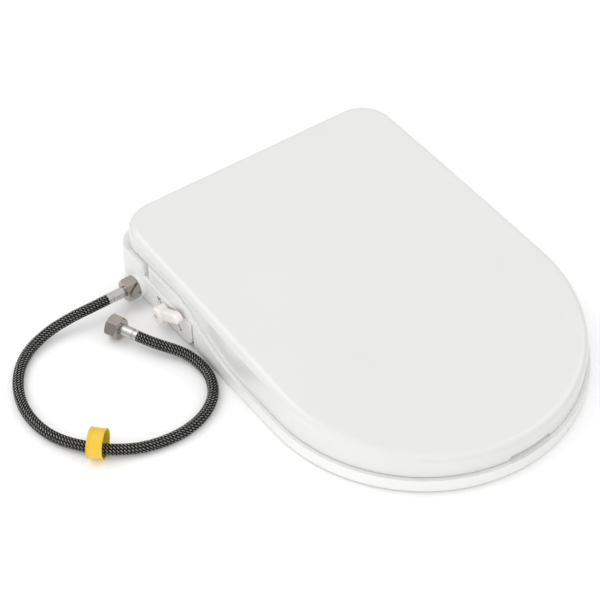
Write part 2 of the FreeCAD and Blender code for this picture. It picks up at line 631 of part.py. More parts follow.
def make_screws(places, seat_z, length, up):
    """Pan-head screws; seat_z is the face under the head, and up is 1 or -1, the way the shank points."""
    screws = []
    for x, y in places:
        seat, outer, end = V(x, y, seat_z), V(x, y, seat_z - up * SCREW_HEAD_H), V(x, y, seat_z + up * length)
        head = rod(SCREW_HEAD_R, outer, seat)
        recess = rod(SCREW_RECESS_R, outer, outer + V(0, 0, up))
        screws.append(head.cut(recess).fuse(rod(SCREW_R, seat, end)).removeSplitter())
    return Part.makeCompound(screws)


# ---------------------------------------------------------------- hinge


def make_pin(sign):
    start = DAMPER_END_X - DAMPER_SOCKET + 1.0
    head_x = PIN_END_X + KNUCKLE_GAP
    shaft = x_rod(PIN_R, sign * start, sign * head_x, HINGE_Y, HINGE_Z)
    head = x_rod(PIN_HEAD_R, sign * head_x, sign * (head_x + PIN_HEAD_LENGTH), HINGE_Y, HINGE_Z)
    return shaft.fuse(head).removeSplitter()


def make_damper(sign):
    body = x_rod(DAMPER_R, sign * (DAMPER_END_X - DAMPER_LENGTH), sign * DAMPER_END_X, HINGE_Y, HINGE_Z)
    socket_x = DAMPER_END_X - DAMPER_SOCKET
    socket = x_rod(PIN_R + RUNNING_FIT, sign * socket_x, sign * REACH / 4, HINGE_Y, HINGE_Z)
    return body.cut(socket)


# ---------------------------------------------------------------- nozzles


def nozzle_rod(radius, x, y0, y1):
    """Cylinder along the nozzle direction; y is measured back from the nozzle tips."""
    return rod(radius, V(x, y0, 0), V(x, y1, 0))


PISTON_Y = NOZZLE_LENGTH - PISTON_LENGTH


def make_nozzle(x, spray_offsets):
    """Straight tube with a piston at its rear end and spray holes near its tip, facing up."""
    body = nozzle_rod(NOZZLE_R, x, 0, NOZZLE_LENGTH)
    tip = [edge for edge in body.Edges if edge.BoundBox.YMax < 1e-6]
    body = body.makeFillet(2.0, tip)
    body = body.fuse(nozzle_rod(PISTON_R, x, PISTON_Y, NOZZLE_LENGTH)).removeSplitter()
    body = body.cut(nozzle_rod(NOZZLE_BORE_R, x, 6, NOZZLE_LENGTH + 1))
    for along, aside in spray_offsets:
        body = body.cut(rod(0.7, V(x + aside, along, 0), V(x + aside, along, NOZZLE_R + 2)))
    return nozzle_frame(body)


def make_nozzle_spring(x):
    front = HOLDER_FRONT_GAP + HOLDER_WALL
    outer = PISTON_R - 0.1
    sleeve = nozzle_rod(outer, x, front, PISTON_Y).cut(nozzle_rod(outer - SPRING_WIRE, x, front, PISTON_Y))
    return nozzle_frame(sleeve)


def make_holder():
    """Block with two cylinders; the nozzles slide in its front holes, the pistons in its bores."""
    half_x = NOZZLE_SPREAD + PISTON_R + HOLDER_SIDE
    half_z = HOLDER_HALF_Z
    block = box(-half_x, half_x, HOLDER_FRONT_GAP, HOLDER_END_Y + HOLDER_BACK, -half_z, half_z)
    ears = box(-half_x - 9, half_x + 9, HOLDER_END_Y - 16, HOLDER_END_Y - 4, -half_z, -half_z + EAR_THICKNESS)
    block = block.fuse(ears)
    for x in (-NOZZLE_SPREAD, NOZZLE_SPREAD):
        block = block.cut(nozzle_rod(NOZZLE_R + NOZZLE_FIT, x, 0, HOLDER_END_Y))
        block = block.cut(nozzle_rod(PISTON_R + NOZZLE_FIT, x, HOLDER_FRONT_GAP + HOLDER_WALL, HOLDER_END_Y))
        block = block.cut(nozzle_rod(NOZZLE_BORE_R, x, HOLDER_END_Y - 1, HOLDER_END_Y + HOLDER_BACK + 1))
    holder = nozzle_frame(block)
    for x, y in HOLDER_SCREWS:
        holder = holder.cut(z_rod(SCREW_R + 0.2, x, y, 0, REACH / 8))
    return holder


HOLDER_SCREW_X = NOZZLE_SPREAD + PISTON_R + HOLDER_SIDE + 4.5
HOLDER_EAR_Y = HOLDER_END_Y - 10.0


def nozzle_point(x, along, up):
    """Point in the object's frame, from one measured in the nozzles' own."""
    return V(x, NOZZLE_TIP_Y + along * math.cos(TILT) - up * math.sin(TILT),
             NOZZLE_TIP_Z + along * math.sin(TILT) + up * math.cos(TILT))


EAR_PLACE = nozzle_point(0, HOLDER_EAR_Y, -HOLDER_HALF_Z)
HOLDER_SCREWS = [(-HOLDER_SCREW_X, EAR_PLACE.y), (HOLDER_SCREW_X, EAR_PLACE.y)]


# posts of the base end just under the holder's tilted ears, and the screw heads just over them
TILT_SLOPE = math.tan(TILT)
HOLDER_POST_TOP = EAR_PLACE.z - BOSS_R * TILT_SLOPE - 0.05
EAR_TOP = EAR_PLACE.z + EAR_THICKNESS * math.hypot(1, TILT_SLOPE) + SCREW_HEAD_R * TILT_SLOPE + 0.05


def make_guard():
    """Plate in front of the nozzles, with a hole for each."""
    guard = box(-GUARD_HALF_WIDTH, GUARD_HALF_WIDTH, CENTRE_FRONT_Y - GUARD_THICKNESS, CENTRE_FRONT_Y,
                RIDE, RIDE + GUARD_HEIGHT)
    upright = [edge for edge in guard.Edges if edge.BoundBox.YLength > GUARD_THICKNESS - 1e-6]
    guard = guard.makeFillet(3.0, upright)
    for x in (-NOZZLE_SPREAD, NOZZLE_SPREAD):
        guard = guard.cut(nozzle_frame(nozzle_rod(NOZZLE_R + GUARD_HOLE_GAP, x, -20, 20)))
    return guard


# ---------------------------------------------------------------- water inlet, valve and knob


def make_inlet_fitting():
    face = -HALF_HOUSE
    end = face - INLET_FLANGE - INLET_THREAD
    flange = x_rod(INLET_FLANGE_R, face - INLET_FLANGE, face, INLET_Y, INLET_Z)
    thread = x_rod(INLET_THREAD_R, end, face - INLET_FLANGE, INLET_Y, INLET_Z)
    neck = x_rod(INLET_NECK_R, face, face + HOUSE_WALL + LOCKNUT_LENGTH + 2, INLET_Y, INLET_Z)
    barb_x = face + HOUSE_WALL + LOCKNUT_LENGTH + 2
    barb = x_rod(BARB_R, barb_x, barb_x + BARB_LENGTH, INLET_Y, INLET_Z)
    body = fuse([flange, thread, neck, barb])
    body = body.cut(x_rod(INLET_BORE_R, end - 1, barb_x + BARB_LENGTH + 1, INLET_Y, INLET_Z))
    return body.cut(x_rod(FILTER_R + 0.1, end - 1, end + FILTER_THICKNESS + 0.4, INLET_Y, INLET_Z))


def make_inlet_filter():
    """Screen in the mouth of the fitting, with a ring of small holes."""
    start = -HALF_HOUSE - INLET_FLANGE - INLET_THREAD + 0.2
    disc = x_rod(FILTER_R, start, start + FILTER_THICKNESS, INLET_Y, INLET_Z)
    for step in range(8):
        turn = math.radians(45 * step)
        disc = disc.cut(x_rod(0.9, start - 1, start + FILTER_THICKNESS + 1,
                              INLET_Y + 4 * math.cos(turn), INLET_Z + 4 * math.sin(turn)))
    return disc


def make_locknut():
    start = -HALF_HOUSE + HOUSE_WALL
    nut = hexagon_prism(LOCKNUT_R * math.sqrt(3), LOCKNUT_LENGTH)
    nut = place(nut, V(start, INLET_Y, INLET_Z), V(1, 0, 0))
    return nut.cut(x_rod(INLET_NECK_R, start - 1, start + LOCKNUT_LENGTH + 1, INLET_Y, INLET_Z))


VALVE_X0 = -HALF_HOUSE + HOUSE_WALL + VALVE_FACE_GAP
VALVE_X1 = VALVE_X0 + VALVE_LENGTH
ROTOR_X0 = VALVE_X0 + 5.0


def make_valve_body():
    body = x_rod(VALVE_R, VALVE_X0, VALVE_X1, VALVE_Y, VALVE_Z)
    foot = box(VALVE_X0 + 9, VALVE_X1 - 3, VALVE_Y - 18, VALVE_Y + 18, BASE_TOP_Z, BASE_TOP_Z + VALVE_FOOT)
    rib = box(VALVE_X0 + 9, VALVE_X1 - 3, VALVE_Y - 4, VALVE_Y + 4, BASE_TOP_Z, VALVE_Z)
    ports = [x_rod(PORT_R, VALVE_X1, VALVE_X1 + PORT_LENGTH, VALVE_Y + offset, VALVE_Z)
             for offset in (-PORT_SPREAD, PORT_SPREAD)]
    inlet = rod(PORT_R, V(VALVE_X1 - 10, VALVE_Y, VALVE_Z), V(VALVE_X1 - 10, VALVE_Y + VALVE_R + 6, VALVE_Z))
    body = fuse([body, foot, rib, inlet] + ports)
    rotor_end = ROTOR_X0 + ROTOR_LENGTH + 0.2
    body = body.cut(x_rod(ROTOR_R + RUNNING_FIT, VALVE_X0 - 1, rotor_end, VALVE_Y, VALVE_Z))
    for x, y in VALVE_SCREWS:
        body = body.cut(z_rod(SCREW_R, x, y, 0, BASE_TOP_Z + VALVE_FOOT + 1))
    return body


VALVE_SCREW_X = (VALVE_X0 + VALVE_X1) / 2 + 3
VALVE_SCREW_OFFSET = 14.5
VALVE_SCREWS = [(VALVE_SCREW_X, VALVE_Y - VALVE_SCREW_OFFSET), (VALVE_SCREW_X, VALVE_Y + VALVE_SCREW_OFFSET)]


def make_valve_stem():
    end = -HALF_HOUSE - KNOB_GAP - KNOB_DEPTH + KNOB_WALL
    rotor = x_rod(ROTOR_R, ROTOR_X0, ROTOR_X0 + ROTOR_LENGTH, VALVE_Y, VALVE_Z)
    shaft = x_rod(STEM_SHAFT_R, end, ROTOR_X0, VALVE_Y, VALVE_Z)
    stem = rotor.fuse(shaft).removeSplitter()
    flat = box(end - 1, end + 9, VALVE_Y - 10, VALVE_Y + 10, VALVE_Z + STEM_SHAFT_R - 1.0, VALVE_Z + 10)
    stem = stem.cut(flat)
    return stem.cut(x_rod(1.2, end - 1, end + 9, VALVE_Y, VALVE_Z))


def make_stem_seal():
    start = VALVE_X0 + 1.0
    ring = x_rod(ROTOR_R, start, start + SEAL_LENGTH, VALVE_Y, VALVE_Z)
    return ring.cut(x_rod(STEM_SHAFT_R + RUNNING_FIT, start - 1, start + SEAL_LENGTH + 1, VALVE_Y, VALVE_Z))


def make_knob():
    """Round hub with a lever that points to the front and a little up."""
    inner = -HALF_HOUSE - KNOB_GAP
    outer = inner - KNOB_DEPTH
    hub = x_rod(KNOB_R, outer, inner, VALVE_Y, VALVE_Z)
    rim = [edge for edge in hub.Edges if edge.BoundBox.XMax < outer + 1e-6]
    hub = hub.makeFillet(2.0, rim)
    root, tip = LEVER_ROOT / 2, LEVER_TIP / 2
    sweep = math.degrees(math.asin((root - tip) / (LEVER_REACH - tip)))
    end = corner_arc(-(LEVER_REACH - tip), 0, tip, 90 + sweep, 270 - sweep)
    start = corner_arc(0, 0, root, -90 - sweep, 90 + sweep)
    lever = chain([end, start]).extrude(V(0, 0, LEVER_DEPTH))
    faces_rim = [edge for edge in lever.Edges if edge.BoundBox.ZMin > LEVER_DEPTH - 1e-6]
    lever = lever.makeFillet(2.5, faces_rim)
    lever.rotate(V(0, 0, 0), V(0, 1, 0), -90)
    lever.rotate(V(0, 0, 0), V(1, 0, 0), -90 - LEVER_ANGLE)
    lever.translate(V(outer + LEVER_DEPTH + 3.0, VALVE_Y, VALVE_Z))
    knob = hub.fuse(lever).removeSplitter()
    socket_end = outer + KNOB_WALL
    socket = x_rod(STEM_SHAFT_R, socket_end, inner + 1, VALVE_Y, VALVE_Z)
    socket = socket.cut(box(socket_end - 1, socket_end + 9, VALVE_Y - 10, VALVE_Y + 10,
                            VALVE_Z + STEM_SHAFT_R - 1.0, VALVE_Z + 10))
    knob = knob.cut(socket)
    knob = knob.cut(x_rod(3.0, outer - 1, outer + 2.2, VALVE_Y, VALVE_Z))
    return knob.cut(x_rod(1.4, outer - 1, socket_end + 1, VALVE_Y, VALVE_Z))


def make_knob_screw():
    outer = -HALF_HOUSE - KNOB_GAP - KNOB_DEPTH
    head = x_rod(2.8, outer + 0.4, outer + 2.2, VALVE_Y, VALVE_Z)
    shank = x_rod(1.2, outer + 2.2, outer + KNOB_WALL + 7, VALVE_Y, VALVE_Z)
    screw = head.fuse(shank).removeSplitter()
    cross = box(outer, outer + 1.2, VALVE_Y - 1.8, VALVE_Y + 1.8, VALVE_Z - 0.3, VALVE_Z + 0.3)
    cross = cross.fuse(box(outer, outer + 1.2, VALVE_Y - 0.3, VALVE_Y + 0.3, VALVE_Z - 1.8, VALVE_Z + 1.8))
    return screw.cut(cross)


# ---------------------------------------------------------------- tubes and hose


def rounded_path(points, share=0.45, report=None):
    """Straight runs joined by tangent arcs, each as large as its two runs allow."""
    edges = []
    last = points[0]
    radii = []
    for before, corner, after in zip(points, points[1:], points[2:]):
        into = (corner - before).normalize()
        out = (after - corner).normalize()
        half = into.getAngle(out) / 2
        tangent = share * min((corner - before).Length, (after - corner).Length)
        radius = tangent / math.tan(half)
        radii.append(radius)
        start = corner - into * tangent
        end = corner + out * tangent
        inward = (out - into).normalize()
        middle = corner + inward * (radius / math.cos(half) - radius)
        edges.append(Part.LineSegment(last, start).toShape())
        edges.append(Part.Arc(start, middle, end).toShape())
        last = end
    edges.append(Part.LineSegment(last, points[-1]).toShape())
    if report:
        print(report, "bend radii", " ".join(f"{radius:.0f}" for radius in radii))
    return Part.Wire(edges)


def tube_along(points, radius, bore=0.0, report=None):
    path = rounded_path(points, report=report)
    direction = points[1] - points[0]

    def sweep(section_r):
        section = Part.Wire(Part.Circle(points[0], direction, section_r).toShape())
        return path.makePipeShell([section], True, True)
    tube = sweep(radius)
    if bore:
        tube = tube.cut(sweep(bore))
    if report:
        ratio = tube.Volume / (math.pi * (radius ** 2 - bore ** 2) * path.Length)
        print(report, f"length {path.Length:.1f} mm, volume over section x length {ratio:.4f}")
    return tube


def hexagon_prism(across_flats, length):
    """Hexagon along +X from the origin, with two flats horizontal."""
    corner = across_flats / math.sqrt(3)
    points = [V(0, corner * math.cos(math.radians(60 * k)), corner * math.sin(math.radians(60 * k)))
              for k in range(7)]
    return Part.Face(Part.makePolygon(points)).extrude(V(length, 0, 0))


def place(shape, origin, direction):
    """Move a shape built along +X to start at origin and run along direction."""
    placed = shape.copy()
    placed.Placement = FreeCAD.Placement(origin, FreeCAD.Rotation(V(1, 0, 0), direction))
    return placed


def local_rod(radius, x0, x1):
    return x_rod(radius, x0, x1, 0, 0)


WASHER_X = NUT_LENGTH - NUT_BACK - FERRULE_FLANGE - WASHER_THICKNESS
HOSE_START = NUT_LENGTH + FERRULE_LENGTH


def make_hose_nut(turn):
    """Hexagon nut from its mouth at the origin to its back, with chamfered corners."""
    nut = hexagon_prism(NUT_ACROSS_FLATS, NUT_LENGTH)
    corner = NUT_ACROSS_FLATS / math.sqrt(3)
    blunt = Part.makeCone(NUT_ACROSS_FLATS / 2 + 0.4, corner + 12, 12.0, V(0, 0, 0), V(1, 0, 0))
    back = Part.makeCone(NUT_ACROSS_FLATS / 2 - 0.6, corner + 12, 12.0, V(NUT_LENGTH, 0, 0), V(-1, 0, 0))
    middle = local_rod(corner + 1, 5, NUT_LENGTH - 5)
    form = blunt.common(local_rod(corner + 1, 0, 6)).fuse(middle)
    form = form.fuse(back.common(local_rod(corner + 1, NUT_LENGTH - 6, NUT_LENGTH)))
    nut = nut.common(form.removeSplitter())
    nut = nut.cut(local_rod(NUT_THREAD_R, -1, NUT_THREAD_LENGTH + 0.1))
    nut = nut.cut(local_rod(NUT_THREAD_R + NUT_RELIEF, NUT_THREAD_LENGTH, NUT_LENGTH - NUT_BACK))
    nut = nut.cut(local_rod(FERRULE_NECK_R + 0.2, -1, NUT_LENGTH + 1))
    nut.rotate(V(0, 0, 0), V(1, 0, 0), turn)
    return nut


def make_ferrule():
    """Crimped sleeve: flange and neck inside the nut, grooved sleeve outside it."""
    flange_x = NUT_LENGTH - NUT_BACK - FERRULE_FLANGE - 0.1
    flange = local_rod(FERRULE_FLANGE_R, flange_x, flange_x + FERRULE_FLANGE)
    neck = local_rod(FERRULE_NECK_R, flange_x, NUT_LENGTH + 0.5)
    sleeve = local_rod(FERRULE_R, NUT_LENGTH + 0.3, HOSE_START)
    body = fuse([flange, neck, sleeve])
    groove_x = HOSE_START - 6.0
    groove = local_rod(FERRULE_R + 1, groove_x, groove_x + GROOVE_WIDTH)
    groove = groove.cut(local_rod(FERRULE_R - GROOVE_DEPTH, groove_x - 1, groove_x + GROOVE_WIDTH + 1))
    body = body.cut(groove)
    return body.cut(local_rod(FERRULE_BORE_R, 0, HOSE_START + 1))


def make_washer():
    washer = local_rod(NUT_THREAD_R - 0.4, WASHER_X - 0.1, WASHER_X - 0.1 + WASHER_THICKNESS)
    return washer.cut(local_rod(WASHER_BORE_R, WASHER_X - 1, NUT_LENGTH))


def beside(out, y, above):
    """Point beside the housing: out from its side face, and above where the hose's middle rests."""
    return V(-HALF_HOUSE - out, y, HOSE_DIAMETER / 2 + above)


INLET_MOUTH = V(-HALF_HOUSE - INLET_FLANGE - 0.4, INLET_Y, INLET_Z)
INLET_RUN = V(-1, 0, 0)
FREE_MOUTH = V(-HALF_HOUSE - 57.7, -23.5, NUT_ACROSS_FLATS / math.sqrt(3) + 0.15)
FREE_RUN = V(0.40, -0.9165, 0).normalize()
HOSE_FROM = INLET_MOUTH + INLET_RUN * HOSE_START
HOSE_TO = FREE_MOUTH + FREE_RUN * HOSE_START

# From the inlet the hose drops to the floor, makes one wide loop beside the seat and comes back.
HOSE_ROUTE = [
    HOSE_FROM,
    HOSE_FROM + INLET_RUN * 21,
    beside(88.5, 9.5, 10.5),
    beside(115.5, 11.5, 4.5),
    beside(143.5, 4.5, 0.6),
    beside(165.5, -12.5, 0),
    beside(181.5, -36.5, 0),
    beside(190.5, -64.5, 0),
    beside(191.5, -94, 0),
    beside(184, -123, 0.3),
    beside(167.5, -149.5, 1.9),
    beside(145.5, -172, 1.9),
    beside(118.5, -186.5, 0.3),
    beside(89.5, -193, 0),
    beside(64, -192.5, 0),
    beside(40, -184.5, 0),
    beside(20.8, -169, 0),
    beside(10, -147.5, 0),
    beside(8, -123.5, 0.3),
    beside(15, -100, 3),
    HOSE_TO + FREE_RUN * 23,
    HOSE_TO,
]
BAND_PLACE = (HOSE_ROUTE[10] + HOSE_ROUTE[11]) * 0.5
BAND_RUN = (HOSE_ROUTE[11] - HOSE_ROUTE[10]).normalize()


def make_band():
    start = V(BAND_PLACE.x, BAND_PLACE.y, BAND_R) - BAND_RUN * (BAND_WIDTH / 2)
    ring = local_rod(BAND_R, 0, BAND_WIDTH).cut(local_rod(BAND_R - BAND_WALL, -1, BAND_WIDTH + 1))
    return place(ring, start, BAND_RUN)


def valve_port(offset):
    return V(VALVE_X1 + PORT_LENGTH, VALVE_Y + offset, VALVE_Z)


def make_wash_tube(offset, nozzle_x, high, detour):
    """From a valve port over the mounting pan, round behind the nozzle holder and into its back."""
    port = valve_port(offset)
    end = nozzle_point(nozzle_x, HOLDER_END_Y + HOLDER_BACK, 0)
    behind = nozzle_point(nozzle_x, HOLDER_END_Y + HOLDER_BACK + 12, 0)
    return tube_along([
        port,
        port + V(14, 0, 0),
        V(port.x + 34, port.y + 12, high),
        V(-60, behind.y + detour - 6, high),
        V(nozzle_x - 17, behind.y + detour, (high + behind.z) / 2),
        behind,
        end,
    ], TUBE_R, TUBE_R - 1.0)


def make_inlet_tube():
    start = V(-HALF_HOUSE + HOUSE_WALL + LOCKNUT_LENGTH + 2 + BARB_LENGTH, INLET_Y, INLET_Z)
    end = V(VALVE_X1 - 10, VALVE_Y + VALVE_R + 6, VALVE_Z)
    return tube_along([
        start,
        start + V(9, 0, 0),
        V(start.x + 16, INLET_Y - 8, INLET_Z),
        V(end.x + 4, end.y + 14, VALVE_Z),
        end + V(0, 7, 0),
        end,
    ], TUBE_R, TUBE_R - 1.0)


# ---------------------------------------------------------------- every node

save("lid_shell", make_lid())
save("lid_bumpers", make_lid_bumpers())
save("seat_ring", make_seat())
save("seat_base", make_seat_base())
save("seat_bumpers", make_pads(SEAT_PADS, RIDE + SEAT_FLOOR))
save("upper_cover", make_cover())
save("lower_base", make_lower_base())
save("base_feet", make_pads(BASE_FEET, BASE_TOP_Z))
save("mounting_plate", make_mounting_plate())
save("cover_screws", make_screws(COVER_SCREWS, RIDE + SCREW_HEAD_H, 12.0, 1))
save("lid_hinge_pin", make_pin(1))
save("seat_hinge_pin", make_pin(-1))
save("lid_damper", make_damper(1))
save("seat_damper", make_damper(-1))
save("release_button", make_button())
save("release_latch", make_latch())
save("release_spring", make_button_spring())
save("nozzle_holder", make_holder())
save("rear_wash_nozzle", make_nozzle(-NOZZLE_SPREAD, [(6, -1.2), (6, 1.2), (8.5, 0)]))
save("front_wash_nozzle", make_nozzle(NOZZLE_SPREAD, [(6, 0), (8, 1.4), (8, -1.4), (10, 0)]))
save("rear_nozzle_spring", make_nozzle_spring(-NOZZLE_SPREAD))
save("front_nozzle_spring", make_nozzle_spring(NOZZLE_SPREAD))
save("nozzle_guard", make_guard())
save("holder_screws", make_screws(HOLDER_SCREWS, EAR_TOP, EAR_TOP - PLATE_ROOM - 2, -1))
save("inlet_fitting", make_inlet_fitting())
save("inlet_filter", make_inlet_filter())
save("inlet_locknut", make_locknut())
save("valve_body", make_valve_body())
save("valve_screws", make_screws(VALVE_SCREWS, BASE_TOP_Z + VALVE_FOOT, BASE_PLATE + VALVE_FOOT - 0.3, -1))
save("valve_stem", make_valve_stem())
save("stem_seal", make_stem_seal())
save("control_knob", make_knob())
save("knob_screw", make_knob_screw())
save("inlet_tube", make_inlet_tube())
save("rear_wash_tube", make_wash_tube(PORT_SPREAD, -NOZZLE_SPREAD, 31.0, 21.0))
save("front_wash_tube", make_wash_tube(-PORT_SPREAD, NOZZLE_SPREAD, 21.5, 11.0))
save("hose_nut_inlet", place(make_hose_nut(0), INLET_MOUTH, INLET_RUN))
save("hose_ferrule_inlet", place(make_ferrule(), INLET_MOUTH, INLET_RUN))
save("hose_washer_inlet", place(make_washer(), INLET_MOUTH, INLET_RUN))
save("hose_nut_free", place(make_hose_nut(12), FREE_MOUTH, FREE_RUN))
save("hose_ferrule_free", place(make_ferrule(), FREE_MOUTH, FREE_RUN))
save("hose_washer_free", place(make_washer(), FREE_MOUTH, FREE_RUN))
save("hose_band", make_band())
save("hose", tube_along(HOSE_ROUTE, HOSE_DIAMETER / 2, report="hose"))
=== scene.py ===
import json
import math

import bmesh
import bpy
import numpy as np
from mathutils import Matrix, Vector


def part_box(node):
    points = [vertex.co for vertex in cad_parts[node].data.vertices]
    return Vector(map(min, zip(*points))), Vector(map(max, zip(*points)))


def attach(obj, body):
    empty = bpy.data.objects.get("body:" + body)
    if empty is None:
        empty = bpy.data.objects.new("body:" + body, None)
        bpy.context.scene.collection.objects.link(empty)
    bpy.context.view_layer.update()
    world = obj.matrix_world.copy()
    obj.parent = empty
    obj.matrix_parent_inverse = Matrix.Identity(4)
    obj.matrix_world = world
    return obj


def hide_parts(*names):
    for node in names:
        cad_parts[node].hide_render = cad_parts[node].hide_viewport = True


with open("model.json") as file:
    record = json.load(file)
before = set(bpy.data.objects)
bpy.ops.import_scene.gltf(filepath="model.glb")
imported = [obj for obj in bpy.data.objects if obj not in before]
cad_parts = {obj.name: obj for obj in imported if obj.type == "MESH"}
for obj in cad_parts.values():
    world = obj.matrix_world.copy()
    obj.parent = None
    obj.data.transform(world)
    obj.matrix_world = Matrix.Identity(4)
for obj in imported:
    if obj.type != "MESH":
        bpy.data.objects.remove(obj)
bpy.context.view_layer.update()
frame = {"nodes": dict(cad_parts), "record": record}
NODES = frame["nodes"]
TAU = 2 * math.pi


# ---------------------------------------------------------------- camera

EYE = Vector((-0.7509, -1.0659, 1.1841))
AZIMUTH = math.radians(-36.23)
ELEVATION = math.radians(44.85)
ROLL = math.radians(-0.5)
LENS = 90.0
SENSOR = 36.0


def make_camera():
    back = Vector((math.sin(AZIMUTH) * math.cos(ELEVATION),
                   -math.cos(AZIMUTH) * math.cos(ELEVATION),
                   math.sin(ELEVATION)))
    level = Vector((math.cos(AZIMUTH), math.sin(AZIMUTH), 0))
    upright = back.cross(level)
    right = math.cos(ROLL) * level + math.sin(ROLL) * upright
    up = math.cos(ROLL) * upright - math.sin(ROLL) * level
    data = bpy.data.cameras.new("camera")
    data.lens = LENS
    data.sensor_width = SENSOR
    data.clip_start, data.clip_end = 0.05, 50
    camera = bpy.data.objects.new("camera", data)
    turn = Matrix((right, up, back)).transposed().to_4x4()
    camera.matrix_world = Matrix.Translation(EYE) @ turn
    bpy.context.scene.collection.objects.link(camera)
    bpy.context.scene.camera = camera


make_camera()


# ---------------------------------------------------------------- small helpers

def new_object(name, data):
    made = bpy.data.objects.new(name, data)
    bpy.context.scene.collection.objects.link(made)
    return made


def mesh_object(name, verts, faces, smooth=True):
    mesh = bpy.data.meshes.new(name)
    mesh.from_pydata([tuple(v) for v in verts], [], [tuple(f) for f in faces])
    mesh.polygons.foreach_set("use_smooth", [smooth] * len(mesh.polygons))
    mesh.update()
    return new_object(name, mesh)


def grid_faces(rows, columns, first=0, closed_rows=False):
    """Quads of a tube whose rings have so many columns; closed_rows joins the last ring to the first."""
    faces = []
    for row in range(rows if closed_rows else rows - 1):
        here, after = first + row * columns, first + (row + 1) % rows * columns
        for column in range(columns):
            beside = (column + 1) % columns
            faces.append((here + column, here + beside, after + beside, after + column))
    return faces


# ---------------------------------------------------------------- materials

COAT_ROUGHNESS = 0.08
RUBBER_EDGE = 0.0004       # radius that rubber edges look rounded to
EDGE_RANGE = (0.75, 0.95)  # cosine between rounded and plain normal, from full edge to flat ground


class Shader:
    """A Principled material whose textures are laid out in the object's own coordinates, in metres."""

    def __init__(self, name, roughness=None, metallic=0.0, specular=0.5, coat=0.0, transmission=0.0):
        self.material = bpy.data.materials.new(name)
        self.material.use_nodes = True
        self.tree = self.material.node_tree
        self.principled = self.tree.nodes["Principled BSDF"]
        self.place = self.add("ShaderNodeTexCoord").outputs["Object"]
        for socket, value in (("Metallic", metallic), ("Specular IOR Level", specular),
                              ("Coat Weight", coat), ("Coat Roughness", COAT_ROUGHNESS),
                              ("Transmission Weight", transmission)):
            self.principled.inputs[socket].default_value = value
        if roughness is not None:
            self.principled.inputs["Roughness"].default_value = roughness

    def add(self, kind, **settings):
        node = self.tree.nodes.new(kind)
        for key, value in settings.items():
            setattr(node, key, value)
        return node

    def link(self, output, target):
        self.tree.links.new(output, target)

    def noise(self, scale, detail=3.0, stretch=(1, 1, 1), rough=0.5):
        mapping = self.add("ShaderNodeMapping")
        mapping.inputs["Scale"].default_value = stretch
        self.link(self.place, mapping.inputs["Vector"])
        node = self.add("ShaderNodeTexNoise")
        node.inputs["Scale"].default_value = scale
        node.inputs["Detail"].default_value = detail
        node.inputs["Roughness"].default_value = rough
        self.link(mapping.outputs["Vector"], node.inputs["Vector"])
        return node.outputs["Fac"]

    def ramp(self, value, low, high, at=(0.3, 0.7)):
        """Colours between low and high as value goes from at[0] to at[1]."""
        node = self.add("ShaderNodeValToRGB")
        for element, position, colour in zip(node.color_ramp.elements, at, (low, high)):
            element.position = position
            element.color = (*colour, 1)
        self.link(value, node.inputs["Fac"])
        return node.outputs["Color"]

    def span(self, value, low, high, at=(0.3, 0.7)):
        """Numbers between low and high as value goes from at[0] to at[1]."""
        node = self.add("ShaderNodeMapRange")
        for socket, number in (("From Min", at[0]), ("From Max", at[1]), ("To Min", low), ("To Max", high)):
            node.inputs[socket].default_value = number
        self.link(value, node.inputs["Value"])
        return node.outputs["Result"]

    def edge(self, radius):
        """(normal rounded over edges, 0 on flat ground to 1 on an edge)"""
        soft = self.add("ShaderNodeBevel", samples=4)
        soft.inputs["Radius"].default_value = radius
        plain = self.add("ShaderNodeNewGeometry")
        facing = self.add("ShaderNodeVectorMath", operation="DOT_PRODUCT")
        self.link(soft.outputs["Normal"], facing.inputs[0])
        self.link(plain.outputs["Normal"], facing.inputs[1])
        return soft.outputs["Normal"], self.span(facing.outputs["Value"], 1.0, 0.0, at=EDGE_RANGE)

    def blend(self, mask, first, second):
        node = self.add("ShaderNodeMix", data_type="RGBA")
        self.link(mask, node.inputs[0])
        for socket, colour in ((node.inputs[6], first), (node.inputs[7], second)):
            if isinstance(colour, tuple):
                socket.default_value = (*colour, 1)
            else:
                self.link(colour, socket)
        return node.outputs[2]

    def bump(self, height, strength, distance, normal=None):
        node = self.add("ShaderNodeBump")
        node.inputs["Strength"].default_value = strength
        node.inputs["Distance"].default_value = distance
        self.link(height, node.inputs["Height"])
        if normal is not None:
            self.link(normal, node.inputs["Normal"])
        return node.outputs["Normal"]

    def finish(self, colour=None, roughness=None, normal=None):
        for socket, output in (("Base Color", colour), ("Roughness", roughness), ("Normal", normal)):
            if output is not None:
                self.link(output, self.principled.inputs[socket])
        return self.material


def shade(colour, factor):
    return tuple(min(1.0, c * factor) for c in colour)


def moulded(name, colour, rough=(0.2, 0.3), grain=0.03, edge=0.0005, wear=0.4, coat=0.0):
    """Moulded plastic: faint flow marks, a fine skin texture, soft edges that are rubbed a little paler."""
    s = Shader(name, coat=coat)
    flow = s.ramp(s.noise(7.0, detail=4), shade(colour, 0.985), shade(colour, 1.012))
    dust = s.noise(30.0, detail=2, rough=0.4)
    normal, on_edge = s.edge(edge)
    rubbed = s.add("ShaderNodeMath", operation="MULTIPLY")
    s.link(on_edge, rubbed.inputs[0])
    s.link(s.span(dust, 0.0, wear, at=(0.42, 0.6)), rubbed.inputs[1])
    body = s.blend(rubbed.outputs[0], flow, shade(colour, 1.03))
    return s.finish(body, s.span(dust, rough[0], rough[1]),
                    s.bump(s.noise(1400.0, detail=2), grain, 0.0002, normal))


